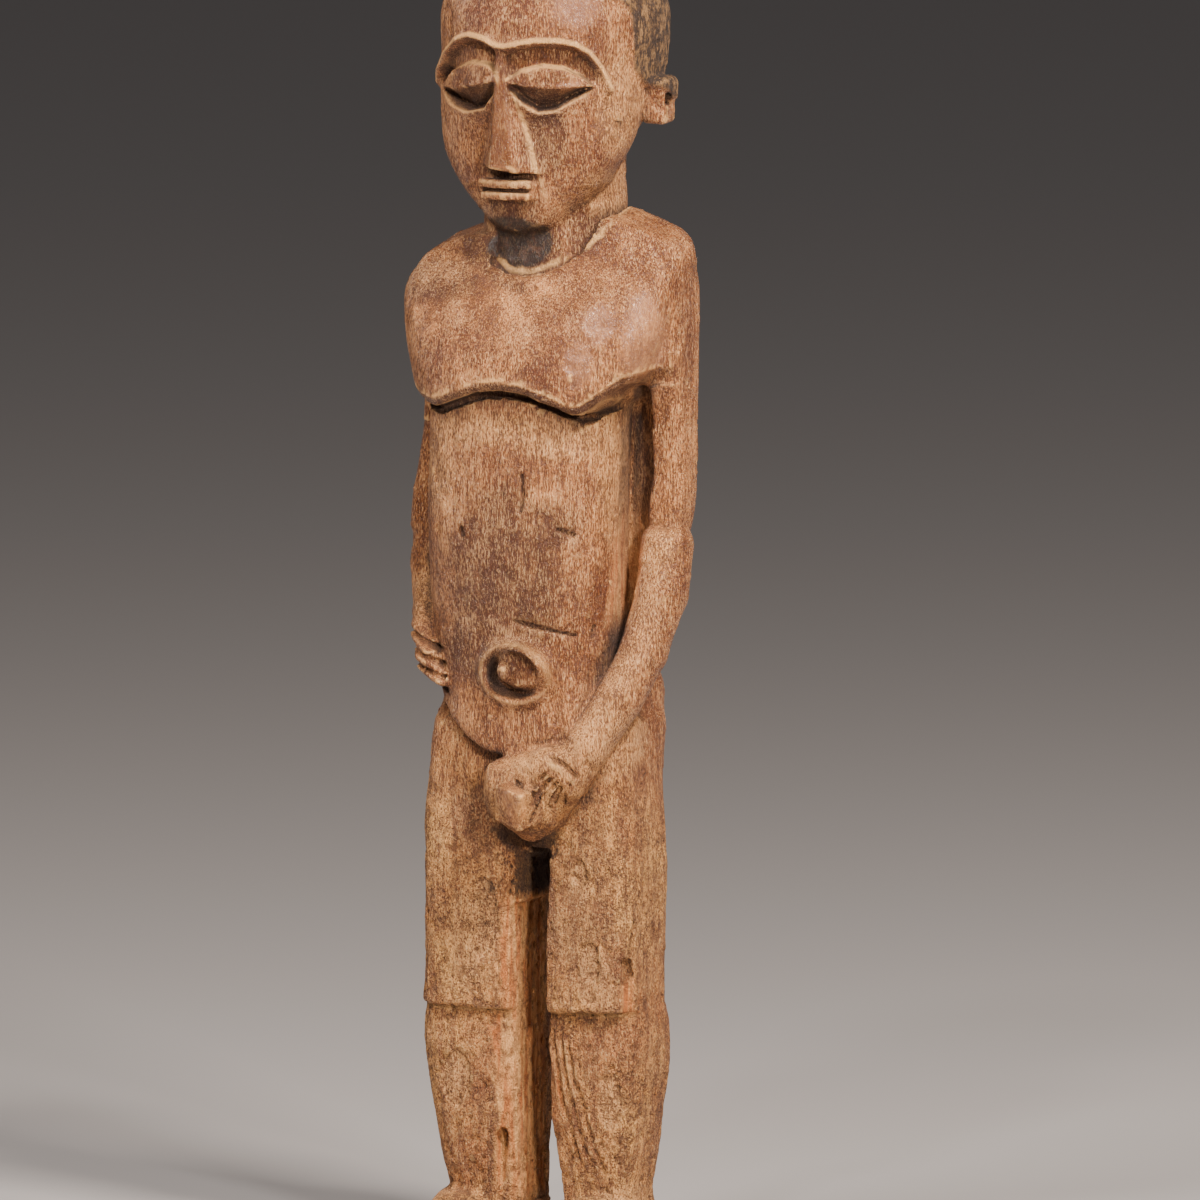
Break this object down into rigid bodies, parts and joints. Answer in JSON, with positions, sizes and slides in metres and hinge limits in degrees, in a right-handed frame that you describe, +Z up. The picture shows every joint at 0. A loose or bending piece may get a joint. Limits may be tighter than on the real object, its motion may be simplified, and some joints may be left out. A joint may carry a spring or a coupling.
{
  "type": "bateba figure",
  "caption": "Carved hardwood standing figure: bowed head, chest ledge over a long belly, ringed navel, a hand at the groin, squared legs on a low base cut from the same block.",
  "frame": {"origin": "centre of the bounding box on the underside of the low base", "axes": "+Z up along the figure, -Y the way it faces, +X its left side"},
  "size_m": [0.1594, 0.1358, 0.6797],
  "materials": {
    "carved_wood": "worn, hand-polished hardwood with tool marks and crusty legs"
  },
  "bodies": {
    "root": {"figure": "carved_wood"}
  },
  "joints": []
}
